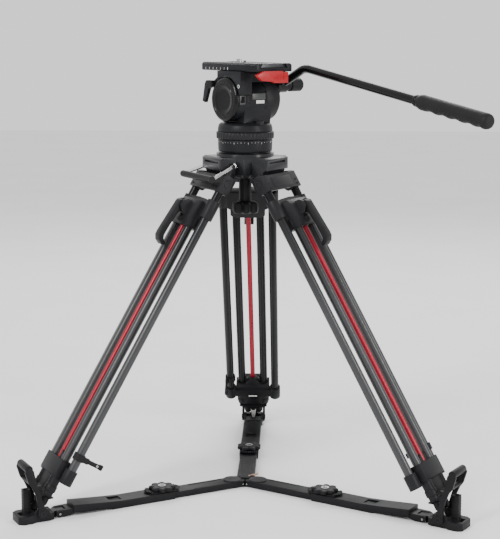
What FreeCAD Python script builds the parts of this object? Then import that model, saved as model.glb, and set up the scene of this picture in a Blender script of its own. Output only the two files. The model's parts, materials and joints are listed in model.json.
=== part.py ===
import FreeCAD, Part
import math
import os
import re
from FreeCAD import Placement, Rotation, Vector

# Tripod with a fluid head: carbon twin-tube legs, a 100 mm bowl, a ground spreader and a pan bar.
# Frame: millimetres, +Z up, origin on the floor under the bowl's axis, first leg along +Y.

os.makedirs("parts", exist_ok=True)
doc = FreeCAD.newDocument("tripod")

# --------------------------------------------------------------------------- driving dimensions
DIMENSIONS = {
    # legs: a leg's own frame has its origin on the hinge, +X outward, +Y sideways, +Z up the leg
    "leg_lean": 31.4,
    "hinge_reach": 64.7,
    "hinge_level": 592.2,
    "hinge_pin_radius": 5.0,
    "tube_radius": 8.0,
    "tube_wall": 1.2,
    "outer_half_pitch": 48.3,
    "inner_half_pitch": 23.7,
    "outer_plane": 5.0,
    "inner_plane": 15.0,
    "rod_radius": 5.0,
    "fit": 0.05,
    "gap": 0.4,
    "shoulder_half_width": 57.0,
    "lug_half_width": 38.0,
    "lug_radius": 11.0,
    "bracket_top": 38.0,
    "bracket_bottom": 100.0,
    "low_block_top": 575.0,
    "low_block_bottom": 607.0,
    "cap_top": 584.0,
    "cap_bottom": 611.5,
    "clamp_bottom": 642.0,
    "lever_eye_out": 40.0,
    "lever_eye_down": 66.0,
    "lever_pin_radius": 3.0,
    "spike_out": 3.06,
    "spike_down": 676.93,
    # crown and bowl
    "bowl_radius": 50.0,
    "rim_level": 645.0,
    "rim_radius": 54.0,
    "bowl_bottom": 609.0,
    "bail_reach": 45.0,
    "bail_level": 625.0,
    "bail_half_width": 40.4,
    "bail_grip_reach": 99.5,
    "bail_grip_level": 604.4,
    "bail_grip_half_width": 60.0,
    # head: its own frame has +X towards the pan bar's end and +Y along the tilt axis
    "base_radius": 51.2,
    "base_bottom": 648.0,
    "base_top": 670.7,
    "ring_radius": 54.0,
    "ring_top": 685.7,
    "dome_top": 703.0,
    "tilt_level": 745.0,
    "drum_radius": 40.7,
    "drum_left": -50.0,
    "drum_split": -43.5,
    "drum_right": 54.0,
    "platform_rear": 89.0,
    "platform_front": -83.0,
    "platform_half_width": 40.0,
    "platform_bottom": 797.5,
    "platform_top": 812.5,
    "channel_floor": 804.5,
    "lock_pin_side": 25.2,
    "screw_radius": 4.76,
    "screw_place": -19.0,
    "brake_out": -38.0,
    "brake_level": 772.0,
    "rosette_out": 12.0,
    "rosette_level": 769.0,
    "bar_plane": 75.0,
    "bar_radius": 8.0,
    "grip_radius": 13.3,
    # ground spreader: an arm's own frame has +X along the arm, from the axis outward
    "arm_half_width": 19.0,
    "arm_top": 14.3,
    "bar_half_width": 16.7,
    "bar_bottom": 1.2,
    "bar_top": 12.6,
    "sleeve_start": 158.0,
    "sleeve_end": 360.0,
    "knob_place": 177.0,
    "knob_radius": 25.0,
    "arm_pin_reach": 385.0,
    "ankle_reach": 420.0,
    "ankle_level": 16.0,
    "base_end": 463.7,
    "base_height": 14.0,
}

sheet = doc.addObject("Spreadsheet::Sheet", "Dims")
for row, (alias, value) in enumerate(DIMENSIONS.items(), 1):
    sheet.set(f"A{row}", alias)
    sheet.set(f"B{row}", str(value))
    sheet.setAlias(f"B{row}", alias)
doc.recompute()

LEG_AZIMUTHS = (90.0, 210.0, 330.0)
HEAD_AZIMUTH = -51.0
AXES = {
    "X": Rotation(Vector(0, 1, 0), 90),
    "Y": Rotation(Vector(1, 0, 0), -90),
    "Z": Rotation(),
}
PLANES = {"XY": "XY_Plane", "XZ": "XZ_Plane", "YZ": "YZ_Plane"}
nodes = []


def size(alias):
    """The value of one cell of the sheet."""
    return float(sheet.get(alias))


def formula(text):
    """An expression in which every alias is read from the sheet."""
    def cell(match):
        word = match.group(0)
        return f"Dims.{word}" if word in DIMENSIONS else word
    return re.sub(r"[a-z][a-z_]*", cell, str(text))


def bind(thing, **sizes):
    for prop, text in sizes.items():
        thing.setExpression(prop.replace("__", "."), formula(text))


def put(thing, at, turn=Rotation()):
    """Places a primitive: the turn is fixed and the three coordinates are bound."""
    thing.Placement = Placement(Vector(), turn)
    for axis, text in zip("xyz", at):
        thing.setExpression(f"Placement.Base.{axis}", formula(text))
    return thing


# --------------------------------------------------------------------------- primitives
def box(name, x, y, z):
    """A block between two limits along each axis."""
    block = doc.addObject("Part::Box", name)
    for prop, (low, high) in zip(("Length", "Width", "Height"), (x, y, z)):
        block.setExpression(prop, formula(f"({high}) - ({low})"))
    return put(block, (x[0], y[0], z[0]))


def rod(name, radius, at, length, axis="Z"):
    """A cylinder that starts at a point and runs along an axis."""
    cylinder = doc.addObject("Part::Cylinder", name)
    bind(cylinder, Radius=radius, Height=length)
    return put(cylinder, at, AXES[axis])


def taper(name, low_radius, high_radius, at, length, axis="Z"):
    cone = doc.addObject("Part::Cone", name)
    bind(cone, Radius1=low_radius, Radius2=high_radius, Height=length)
    return put(cone, at, AXES[axis])


def ball(name, radius, at, low_angle=-90, high_angle=90):
    sphere = doc.addObject("Part::Sphere", name)
    bind(sphere, Radius=radius)
    sphere.Angle1 = low_angle
    sphere.Angle2 = high_angle
    return put(sphere, at)


def sketch_on(body, plane, outline, offset="0"):
    """A closed outline, each corner held by its two coordinates."""
    sketch = body.newObject("Sketcher::SketchObject", body.Name + "_sketch")
    origin = [f for f in body.Origin.OriginFeatures if f.Role == PLANES[plane]][0]
    sketch.AttachmentSupport = [(origin, "")]
    sketch.MapMode = "FlatFace"
    sketch.setExpression("AttachmentOffset.Base.z", formula(offset))
    count = len(outline)
    start = []
    for index, (across, up) in enumerate(outline):
        turn = 2 * math.pi * index / count
        across = across if not isinstance(across, str) else 50 * math.cos(turn)
        up = up if not isinstance(up, str) else 50 * math.sin(turn)
        start.append(Vector(across, up, 0))
    for index in range(count):
        sketch.addGeometry(Part.LineSegment(start[index], start[(index + 1) % count]))
    for index in range(count):
        sketch.addConstraint(sketcher("Coincident", index, 2, (index + 1) % count, 1))
    for index, corner in enumerate(outline):
        for kind, value, now in zip(("DistanceX", "DistanceY"), corner, start[index]):
            held = sketch.addConstraint(sketcher(kind, -1, 1, index, 1, now))
            if isinstance(value, str):
                sketch.setExpression(f"Constraints[{held}]", formula(value))
    return sketch


def sketcher(*words):
    import Sketcher
    return Sketcher.Constraint(*words)


def slab(name, plane, outline, low, high):
    """An outline padded between two limits along the plane's normal axis."""
    body = doc.addObject("PartDesign::Body", name)
    along_minus = plane == "XZ"
    sketch = sketch_on(body, plane, outline, f"-({high})" if along_minus else low)
    pad = body.newObject("PartDesign::Pad", name + "_pad")
    pad.Profile = sketch
    pad.setExpression("Length", formula(f"({high}) - ({low})"))
    body.Tip = pad
    return body


def turned(name, outline):
    """An outline of radius and height, revolved about Z."""
    body = doc.addObject("PartDesign::Body", name)
    sketch = sketch_on(body, "XZ", outline)
    revolution = body.newObject("PartDesign::Revolution", name + "_turn")
    revolution.Profile = sketch
    revolution.ReferenceAxis = (sketch, ["V_Axis"])
    revolution.Angle = 360
    body.Tip = revolution
    return body


def moved(thing, placement):
    thing.Placement = placement
    return thing


def join(name, things):
    if len(things) == 1:
        return things[0]
    union = doc.addObject("Part::MultiFuse", name)
    union.Shapes = things
    return union


def group(name, things):
    bundle = doc.addObject("Part::Compound", name)
    bundle.Links = things
    return bundle


def node(name, solids, holes=(), frame=Placement(), separate=False):
    """One sub-part: its solids joined, its holes cut, labelled and placed."""
    part = group(name + "_all", solids) if separate else join(name + "_all", solids)
    if holes:
        cut = doc.addObject("Part::Cut", name + "_cut")
        cut.Base = part
        cut.Tool = join(name + "_holes", list(holes))
        part = cut
    if part.ExpressionEngine or part.Placement != Placement():
        part = group(name + "_set", [part])
    part.Placement = frame
    part.Label = name
    nodes.append(part)
    return part


# --------------------------------------------------------------------------- frames
def arm_frame(index):
    return Placement(Vector(), Rotation(Vector(0, 0, 1), LEG_AZIMUTHS[index]))


def leg_frame(index):
    """A leg leans outward about its hinge."""
    lean = Rotation(Vector(0, 1, 0), -size("leg_lean"))
    hinge = Placement(Vector(size("hinge_reach"), 0, size("hinge_level")), lean)
    return arm_frame(index) * hinge


HEAD_FRAME = Placement(Vector(), Rotation(Vector(0, 0, 1), HEAD_AZIMUTH))


# --------------------------------------------------------------------------- crown
def crown():
    """A cast bowl with three hinge lugs, each slotted, and three flat ribs between them."""
    bowl = turned("bowl_casting", [
        (0, "bowl_bottom"), (43, "bowl_bottom"), (50, 622), ("rim_radius", 634),
        ("rim_radius", "rim_level"), (0, "rim_level")])
    solids = [bowl]
    holes = [
        ball("bowl_socket", "bowl_radius + fit", (0, 0, "rim_level")),
        rod("bowl_opening", 20, (0, 0, 590), 60)]
    for index in range(3):
        turn = arm_frame(index)
        between = Placement(Vector(), Rotation(Vector(0, 0, 1), LEG_AZIMUTHS[index] + 60))
        lug = slab(f"lug_{index}", "XZ", [
            (38, 640), (65, 640), (70.5, 637), (70.5, 616.5), (64, 614.5), (58, "hinge_level"),
            (50, "hinge_level"), (40, 606)], "-lug_half_width", "lug_half_width")
        knuckle = rod(f"knuckle_{index}", "lug_radius", ("hinge_reach", "-lug_half_width", "hinge_level"),
                      "2 * lug_half_width", "Y")
        rib = slab(f"rib_{index}", "XY", [
            (30, -21), (46, -17.5), (54.5, 0), (46, 17.5), (30, 21)], 607, 636)
        pin_hole = rod(f"pin_hole_{index}", "hinge_pin_radius", ("hinge_reach", -60, "hinge_level"), 120, "Y")
        slot = box(f"lug_slot_{index}", (64, 80), (-28, 28), (629, 632.2))
        arm = join(f"lug_joined_{index}", [lug, knuckle])
        solids += [moved(arm, turn), moved(rib, between)]
        holes += [moved(group(f"lug_cuts_{index}", [pin_hole, slot]), turn)]
    for side, low in (("left", "-bail_half_width - 3"), ("right", "lug_half_width - 1")):
        stub = rod(f"bail_stub_{side}", 2.0, ("bail_reach", low, "bail_level"),
                   "bail_half_width + 4 - lug_half_width", "Y")
        solids.append(moved(group(f"bail_stub_set_{side}", [stub]), arm_frame(1)))
    node("crown", solids, holes)


def leg_hinge_pins():
    pins = []
    for index in range(3):
        pin = rod(f"hinge_pin_{index}", "hinge_pin_radius",
                  ("hinge_reach", "0.6 - shoulder_half_width", "hinge_level"),
                  "2 * shoulder_half_width - 1.2", "Y")
        pins.append(moved(group(f"hinge_pin_set_{index}", [pin]), arm_frame(index)))
    node("leg_hinge_pins", pins, separate=True)


def carry_handle():
    """A wire bail with a sleeve grip, hinged on the sides of one lug."""
    start = Vector(size("bail_reach"), size("bail_half_width"), size("bail_level"))
    end = Vector(size("bail_grip_reach"), size("bail_grip_half_width"), size("bail_grip_level"))
    solids = []
    holes = []
    for side, sign in (("left", -1), ("right", 1)):
        run = Vector(end.x - start.x, sign * (end.y - start.y), end.z - start.z)
        wire = doc.addObject("Part::Cylinder", f"bail_wire_{side}")
        bind(wire, Radius=2.2, Height="sqrt((bail_grip_reach - bail_reach)^2 + (bail_grip_level - bail_level)^2"
             " + (bail_grip_half_width - bail_half_width)^2)")
        put(wire, ("bail_reach", f"{sign} * bail_half_width", "bail_level"), Rotation(Vector(0, 0, 1), run))
        eye = rod(f"bail_eye_{side}", 4.4, ("bail_reach", f"{sign} * bail_half_width - 2", "bail_level"), 4, "Y")
        solids += [wire, eye]
        holes.append(rod(f"bail_hole_{side}", "2 + fit",
                         ("bail_reach", f"{sign} * bail_half_width - 8", "bail_level"), 16, "Y"))
    solids.append(rod("bail_grip", 5.6, ("bail_grip_reach", "-bail_grip_half_width - 3", "bail_grip_level"),
                      "2 * bail_grip_half_width + 6", "Y"))
    node("carry_handle", solids, holes, arm_frame(1))


# --------------------------------------------------------------------------- head
def bowl_base():
    """Half ball, scale base, bearing column, spigot and the stud that the tie-down knob pulls."""
    solids = [
        ball("half_ball", "bowl_radius", (0, 0, "rim_level"), -34, 0),
        rod("ball_neck", 43, (0, 0, "rim_level"), "base_bottom - rim_level"),
        turned("scale_base", [
            (0, "base_bottom"), (49.6, "base_bottom"), (50.6, 651), ("base_radius", "base_top"),
            (0, "base_top")]),
        rod("bearing_column", 40, (0, 0, "base_top"), "ring_top - base_top"),
        rod("pan_spigot", 12, (0, 0, "ring_top"), 12),
        rod("tie_stud", 6, (0, 0, 561), 60)]
    node("bowl_base", solids, frame=HEAD_FRAME)


def tie_down_knob():
    """A dished washer, a long barrel and a lobed knob in one moulding, threaded on the stud."""
    barrel = turned("tie_barrel", [
        (0, 553), (11.5, 553), (11.5, 596), (25, 601), (27, 607), (15, 607), (0, 604)])
    knob = rod("tie_knob_core", 20, (0, 0, 531), 22)
    solids = [barrel, knob]
    for index in range(6):
        turn = math.radians(60 * index)
        lobe = rod(f"tie_lobe_{index}", 7, (19 * math.cos(turn), 19 * math.sin(turn), 532.5), 19)
        solids.append(lobe)
    node("tie_down_knob", solids, [rod("tie_thread", "6 + fit", (0, 0, 555), 60)], HEAD_FRAME)


def pan_drag_ring():
    ring = turned("drag_ring_blank", [
        ("40 + fit", "base_top + 0.4"), ("ring_radius - 1", "base_top + 0.4"),
        ("ring_radius", "base_top + 1.6"), ("ring_radius", "ring_top - 1.6"),
        ("ring_radius - 1", "ring_top - 0.4"), ("40 + fit", "ring_top - 0.4")])
    node("pan_drag_ring", [ring], frame=HEAD_FRAME)


def head_body():
    """The panning casting: dome, waist, drum with its panel, and the two tilt stubs."""
    dome = turned("pan_dome", [
        (0, "ring_top + gap"), (51.5, "ring_top + gap"), (51, 692), (49.5, 697.5), (46, 701),
        (38, "dome_top"), (0, "dome_top")])
    waist = slab("waist", "XZ", [
        (-32, 699), (32, 699), (36, 730), (-36, 730)], -27, 34)
    drum = rod("drum", "drum_radius - 0.7", (0, "drum_split", "tilt_level"), "drum_right - 3 - drum_split", "Y")
    cover = taper("drum_cover", "drum_radius - 0.7", "drum_radius - 3.7",
                  (0, "drum_right - 3", "tilt_level"), 3, "Y")
    left_stub = rod("left_stub", 12, (0, "drum_left + 4.2", "tilt_level"), "drum_split - drum_left - 4.2", "Y")
    right_stub = rod("right_stub", 10, (0, "drum_right", "tilt_level"), 9, "Y")
    panel = box("panel", (25, 41.5), (-43, 19), (734, 757))
    solids = [dome, waist, drum, cover, left_stub, right_stub, panel]
    holes = [rod("spigot_hole", "12 + fit", (0, 0, 680), 18.5)]
    node("head_body", solids, holes, HEAD_FRAME)


def tilt_drag_ring():
    """A large knob over the left end of the drum, dished and capped."""
    knob = rod("drag_knob_blank", "drum_radius", (0, "drum_left + 3", "tilt_level"),
               "drum_split - drum_left - 3 - gap", "Y")
    edge = taper("drag_knob_edge", "drum_radius - 4", "drum_radius", (0, "drum_left", "tilt_level"), 3, "Y")
    dish = taper("drag_knob_dish", 26, 21, (0, "drum_left - 0.01", "tilt_level"), 2.6, "Y")
    bore = rod("drag_knob_bore", "12 + fit", (0, "drum_left + 4.1", "tilt_level"), 20, "Y")
    node("tilt_drag_ring", [knob, edge], [dish, bore], HEAD_FRAME)


def tilt_brake_lever():
    hub = rod("brake_hub", 5.5, ("brake_out", -53, "brake_level"), 8.6, "Y")
    blade = slab("brake_blade", "XZ", [
        (-33, 779.3), (-51, 779.3), (-55.5, 774), (-60.5, 752), (-63, 740.5), (-55, 738), (-47, 756), (-43.5, 764),
        (-36, 767)], -53, -46.5)
    hole = rod("brake_pin_hole", "2.5 + fit", ("brake_out", -60, "brake_level"), 20, "Y")
    node("tilt_brake_lever", [hub, blade], [hole], HEAD_FRAME)


def tilt_cradle():
    """The saddle that turns about the drum and carries the platform and the rosette."""
    saddle = box("saddle", (-25, 48), (-46, 55.5), (770, "platform_bottom"))
    front_wall = slab("front_wall", "XZ", [
        (30, 785), (34, 765), (40, 755.5), (46.5, 755.5), (48, 762), (48, 790)], -46, -20)
    ear = slab("right_ear", "XZ", [
        (-18, 782), (-16, 740), (-8, 731), (8, 731), (16, 740), (30, 762), (34, 782), (34, "platform_bottom"),
        (-18, "platform_bottom")], 55.2, 62)
    boss = rod("rosette_boss", 14, ("rosette_out", 61, "rosette_level"), 5.5, "Y")
    brake_lug = rod("brake_lug", 7, ("brake_out", -43.5, "brake_level"), 12, "Y")
    brake_arm = slab("brake_arm", "XZ", [
        (-42, 777), (-33, 765), (-20, 784), (-22, 790), (-26, 787)], -43.5, -31.5)
    brake_pin = rod("brake_pin", 2.5, ("brake_out", -52, "brake_level"), 20, "Y")
    holes = [
        rod("drum_clearance", "drum_radius + 3", (0, -60, "tilt_level"), 115.2, "Y"),
        box("saddle_recess", (30, 60), (-20, 50), (760, 792)),
        rod("stub_bore", "10 + fit", (0, 50, "tilt_level"), 20, "Y"),
        rod("rosette_thread", "4 + fit", ("rosette_out", 50, "rosette_level"), 30, "Y")]
    node("tilt_cradle", [saddle, front_wall, ear, boss, brake_lug, brake_arm, brake_pin], holes, HEAD_FRAME)


def platform():
    """The top plate with a dovetail channel, graduated edge and the lock lever's pin."""
    blank = slab("platform_blank", "YZ", [
        ("-platform_half_width", "platform_bottom + 1.5"), ("1.5 - platform_half_width", "platform_bottom"),
        ("platform_half_width - 1.5", "platform_bottom"), ("platform_half_width", "platform_bottom + 1.5"),
        ("platform_half_width", "platform_top - 3"), ("platform_half_width - 4", "platform_top"),
        ("4 - platform_half_width", "platform_top"), ("-platform_half_width", "platform_top - 3")],
        "platform_front", "platform_rear")
    channel = slab("channel", "YZ", [
        (-31, "channel_floor"), (31, "channel_floor"), (26, "platform_top + 0.1"), (-26, "platform_top + 0.1")],
        "platform_front - 5", "platform_rear + 5")
    lever_pin = rod("lock_pin", 3, (84, "lock_pin_side", 783), 16)
    node("platform", [blank, lever_pin], [channel], HEAD_FRAME)


def slide_plate():
    """The camera plate: a dovetail bar with a long screw slot and a locating pin."""
    bar = slab("plate_bar", "YZ", [
        (-30.7, "channel_floor + 0.3"), (30.7, "channel_floor + 0.3"), (25.9, "platform_top - 0.3"),
        (-25.9, "platform_top - 0.3")], -76, 84)
    pin = rod("locating_pin", 2.25, (-1, 0, 810), 6.2)
    slot = box("screw_slot", (-56, -8), ("-screw_radius - 0.6", "screw_radius + 0.6"), (800, 820))
    counterbore = box("screw_counterbore", (-60, -4), (-9, 9), (800, 808.4))
    node("slide_plate", [bar, pin], [slot, counterbore], HEAD_FRAME)


def plate_lock_lever():
    block = slab("lock_block", "YZ", [
        (25, 777.5), (25, 796.8), (15, 796.8), (12, 799), (-29, 799), (-45, 792), (-34, 782), (-10, 780), (-4, 777.5)],
        89.6, 98)
    hub = rod("lock_hub", 7.5, (84, "lock_pin_side", 783.2), 13.6)
    bore = rod("lock_bore", "3 + fit", (84, "lock_pin_side", 770), 30)
    node("plate_lock_lever", [block, hub], [bore], HEAD_FRAME)


def camera_screw():
    solids = [
        rod("screw_head", 8, ("screw_place", 0, 805), 3),
        rod("screw_neck", "screw_radius + 0.3", ("screw_place", 0, 807), "platform_top + 0.1 - 807"),
        rod("screw_shank", "screw_radius", ("screw_place", 0, "platform_top"), 6.3)]
    node("camera_screw", solids, frame=HEAD_FRAME)


def rosette_knob():
    collar = rod("rosette_collar", 10.5, ("rosette_out", 83.6, "rosette_level"), 12, "Y")
    grip = rod("rosette_grip", 12.6, ("rosette_out", 95, "rosette_level"), 24, "Y")
    tip = taper("rosette_tip", 12.6, 10.2, ("rosette_out", 119, "rosette_level"), 3, "Y")
    stud = rod("rosette_stud", 4, ("rosette_out", 56, "rosette_level"), 30, "Y")
    node("rosette_knob", [collar, grip, tip, stud], frame=HEAD_FRAME)


ELBOW = (84.0, 803.0)
BAR_END = (538.0, 731.4)


def pan_bar():
    """A bent tube in the plane beside the drum, with a clamp hub on the rosette."""
    start = Vector(size("rosette_out"), 0, size("rosette_level"))
    corner = Vector(ELBOW[0], 0, ELBOW[1])
    end = Vector(BAR_END[0], 0, BAR_END[1])
    first = (corner - start).normalize()
    second = (end - corner).normalize()
    turn = first.getAngle(second)
    bend_radius = 42.0
    run = bend_radius * math.tan(turn / 2)
    bend_in = corner - first * run
    bend_out = corner + second * run
    inward = (second - first).normalize()
    middle = corner + inward * (bend_radius / math.cos(turn / 2) - bend_radius)
    path = Part.Wire([
        Part.LineSegment(start, bend_in).toShape(),
        Part.Arc(bend_in, middle, bend_out).toShape(),
        Part.LineSegment(bend_out, end).toShape()])
    section = Part.Wire(Part.makeCircle(size("bar_radius"), start, first))
    tube = doc.addObject("Part::Feature", "bar_tube")
    tube.Shape = path.makePipeShell([section], True, False)
    tube.Placement = Placement(Vector(0, size("bar_plane"), 0), Rotation())
    hub = rod("bar_hub", 14, ("rosette_out", "bar_plane - 8.2", "rosette_level"), 16.4, "Y")
    bore = rod("bar_hub_bore", "4 + fit", ("rosette_out", "bar_plane - 20", "rosette_level"), 40, "Y")
    node("pan_bar", [tube, hub], [bore], HEAD_FRAME)


def pan_grip():
    """A moulded grip over the bar's last stretch, rounded at its closed end."""
    slope = math.degrees(math.atan2(ELBOW[1] - BAR_END[1], BAR_END[0] - ELBOW[0]))
    along = Rotation(Vector(0, 1, 0), 90 + slope)
    sleeve = turned("grip_sleeve", [
        (0, 0), (9.5, 0), (11.6, 4), ("grip_radius", 14), ("grip_radius", 158), (12.2, 164), (8, 167.5), (0, 168)])
    hollow = rod("grip_hollow", "bar_radius", (0, 0, -1), 153)
    grip = doc.addObject("Part::Cut", "grip_cut")
    grip.Base = sleeve
    grip.Tool = hollow
    length = 152.0
    heading = Vector(BAR_END[0] - ELBOW[0], 0, BAR_END[1] - ELBOW[1]).normalize()
    start = Vector(BAR_END[0], size("bar_plane"), BAR_END[1]) - heading * length
    grip.Placement = Placement(start, along)
    node("pan_grip", [grip], frame=HEAD_FRAME)


# --------------------------------------------------------------------------- legs
def tube_pair(name, pitch, plane, top, bottom, radius="tube_radius", wall="tube_wall"):
    """Two hollow tubes, side by side, between two distances down the leg."""
    tubes = []
    for side, sign in (("left", -1), ("right", 1)):
        at = (plane, f"{sign} * {pitch}", f"-({bottom})")
        outer = rod(f"{name}_{side}_outer", radius, at, f"{bottom} - ({top})")
        inner = rod(f"{name}_{side}_inner", f"{radius} - {wall}", at, f"{bottom} - ({top})")
        tube = doc.addObject("Part::Cut", f"{name}_{side}")
        tube.Base = outer
        tube.Tool = inner
        tubes.append(tube)
    return tubes


def tube_holes(name, pitch, plane, top, bottom, radius):
    return [rod(f"{name}_{side}", radius, (plane, f"{sign} * {pitch}", f"-({bottom})"), f"{bottom} - ({top})")
            for side, sign in (("left", -1), ("right", 1))]


def leg_shoulder(tag, frame):
    """A yoke: two cheeks on the hinge pin, a front plate and sockets for the outer tubes."""
    cheek = [(-11, 12), (-4, 15), (9, 16), (16, 11), (16, -20), (-5, -20), (-11, -12)]
    solids = [
        slab(f"cheek_left_{tag}", "XZ", cheek, "-shoulder_half_width", "-lug_half_width - gap"),
        slab(f"cheek_right_{tag}", "XZ", cheek, "lug_half_width + gap", "shoulder_half_width"),
        box(f"front_plate_{tag}", (11.6, 16), ("-lug_half_width - 1", "lug_half_width + 1"), (-20, 11))]
    holes = [rod(f"cheek_pin_hole_{tag}", "hinge_pin_radius + fit", (0, -70, 0), 140, "Y")]
    holes += tube_holes(f"shoulder_socket_{tag}", "outer_half_pitch", "outer_plane", 7, 30, "tube_radius")
    node(f"leg_shoulder_{tag}", solids, holes, frame)


def upper_tubes(tag, frame):
    node(f"upper_tubes_{tag}",
         tube_pair(f"upper_{tag}", "outer_half_pitch", "outer_plane", 7, 605), frame=frame, separate=True)


def lower_bracket(tag, frame):
    """End caps on the outer tubes, arms, and the block that guides the inner tubes."""
    solids = [
        box(f"low_block_{tag}", (2, 25), (-36, 36), ("-low_block_bottom", "-low_block_top")),
        rod(f"low_dome_{tag}", 15, (3, 0, "-low_block_top"), 16, "X"),
        box(f"low_arm_{tag}", (-4, 12), (-46, 46), (-606, -588))]
    for side, sign in (("left", -1), ("right", 1)):
        solids.append(rod(f"low_cap_{side}_{tag}", 11.6, ("outer_plane", f"{sign} * outer_half_pitch", "-cap_bottom"),
                          "cap_bottom - cap_top"))
    holes = tube_holes(f"low_cap_hole_{tag}", "outer_half_pitch", "outer_plane", 560, 605, "tube_radius")
    holes += tube_holes(f"low_guide_{tag}", "inner_half_pitch", "inner_plane", 560, 620, "tube_radius + fit")
    holes.append(rod(f"low_rod_hole_{tag}", "rod_radius + 0.4", ("inner_plane", 0, -620), 80))
    node(f"lower_bracket_{tag}", solids, holes, frame)


def slide_bracket(tag, frame):
    """The carrier that rides on the outer tubes and holds the inner tubes and the lock lever."""
    solids = [
        slab(f"carrier_web_{tag}", "YZ", [
            (-48, -41), (-30, "-bracket_top - 0.5"), (0, "-bracket_top + 1"), (30, "-bracket_top - 0.5"), (48, -41),
            (48, -72), (34, -80), (34, -94), (27, "-bracket_bottom"), (-27, "-bracket_bottom"), (-34, -94),
            (-34, -80), (-48, -72)], -3, 14),
        slab(f"carrier_block_{tag}", "XZ", [
            (10, -46), (24, -46), (30, -56), (30, -80), (27, "-bracket_bottom"), (4, "-bracket_bottom"), (4, -46)],
            -33, 33),
        slab(f"carrier_ears_{tag}", "XZ", [
            (24, -52), (38, -54), (45, -60), (46, -70), (40, -76), (28, -80), (20, -70)], -14.5, 14.5),
        rod(f"carrier_boss_{tag}", 7.4, (20, 0, -88.5), 12.5, "X")]
    for side, sign in (("left", -1), ("right", 1)):
        solids.append(rod(f"carrier_sleeve_{side}_{tag}", 12.2,
                          ("outer_plane", f"{sign} * outer_half_pitch", -74), "74 - bracket_top"))
    holes = tube_holes(f"carrier_bore_{tag}", "outer_half_pitch", "outer_plane", 30, 90, "tube_radius + fit")
    holes += tube_holes(f"carrier_socket_{tag}", "inner_half_pitch", "inner_plane", 62, 110, "tube_radius")
    holes += [
        rod(f"carrier_rod_hole_{tag}", "rod_radius + fit", ("inner_plane", 0, -110), 29),
        slab(f"lever_room_{tag}", "XZ", [
            (29.6, -50), (60, -50), (60, -90), (33.2, -90), (29.6, -74)], "-9.5 - gap", "9.5 + gap")]
    body = join(f"carrier_{tag}", solids)
    cut = doc.addObject("Part::Cut", f"carrier_cut_{tag}")
    cut.Base = body
    cut.Tool = join(f"carrier_holes_{tag}", holes)
    pin = rod(f"lever_pin_{tag}", "lever_pin_radius", ("lever_eye_out", -13, "-lever_eye_down"), 26, "Y")
    node(f"slide_bracket_{tag}", [cut, pin], frame=frame)


def lock_lever(tag, frame):
    """A long loop lever: an eye on its pin, an outer blade and a hooked end."""
    eye = rod(f"lever_eye_{tag}", 8.6, ("lever_eye_out", -9.5, "-lever_eye_down"), 19, "Y")
    blade = slab(f"lever_blade_{tag}", "XZ", [
        (45.5, -59.5), (48.5, -66), (51, -100), (53.5, -130), (53, -138), (48, -146), (39, -150.5), (34, -147.5),
        (35, -144), (42, -139.5), (44.5, -133), (43.5, -110), (40.5, -84), (36, -73)], -9.5, 9.5)
    hole = rod(f"lever_hole_{tag}", "lever_pin_radius + fit", ("lever_eye_out", -20, "-lever_eye_down"), 40, "Y")
    node(f"lock_lever_{tag}", [eye, blade], [hole], frame)


def mid_tubes(tag, frame):
    node(f"mid_tubes_{tag}",
         tube_pair(f"mid_{tag}", "inner_half_pitch", "inner_plane", 62, 630), frame=frame, separate=True)


def release_rod(tag, frame):
    node(f"release_rod_{tag}",
         [rod(f"red_rod_{tag}", "rod_radius", ("inner_plane", 0, -583), "583 - 89")], frame=frame)


def mid_clamp(tag, frame):
    """The tapered block that closes the inner tubes and grips the lowest tubes."""
    block = slab(f"clamp_block_{tag}", "YZ", [
        (-35, "-low_block_bottom - gap"), (35, "-low_block_bottom - gap"), (35, -630), (31, "-clamp_bottom"),
        (-31, "-clamp_bottom"), (-35, -630)], 3, 24.4)
    holes = tube_holes(f"clamp_socket_{tag}", "inner_half_pitch", "inner_plane", 600, 630, "tube_radius")
    holes += tube_holes(f"clamp_guide_{tag}", "inner_half_pitch", "inner_plane", 620, 650,
                        "tube_radius - tube_wall")
    holes.append(rod(f"clamp_dimple_{tag}", 3, (1, -20, -634), 6, "X"))
    node(f"mid_clamp_{tag}", [block], holes, frame)


def foot(tag, frame):
    """The lowest stage: two slim tubes, a bridge, two rounded pads and a steel spike."""
    solids = tube_pair(f"low_{tag}", "inner_half_pitch", "inner_plane", 330, 645,
                       "tube_radius - tube_wall - fit", 1.1)
    solids += [
        slab(f"foot_bridge_{tag}", "YZ", [
            (-30, "-clamp_bottom - gap"), (30, "-clamp_bottom - gap"), (30, -644.5), (17, -650), (-17, -650),
            (-30, -644.5)], 3, 20),
        taper(f"spike_{tag}", 2.6, 6, ("spike_out", 0, "-spike_down"), "spike_down - 649"),
        ball(f"spike_end_{tag}", 3, ("spike_out", 0, "-spike_down"))]
    for side, sign in (("left", -1), ("right", 1)):
        solids += [
            rod(f"foot_pad_{side}_{tag}", 8, (9.5, 12 * sign, -659), 12),
            ball(f"foot_end_{side}_{tag}", 8, (9.5, 12 * sign, -659))]
    node(f"foot_{tag}", solids, frame=frame)


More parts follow.
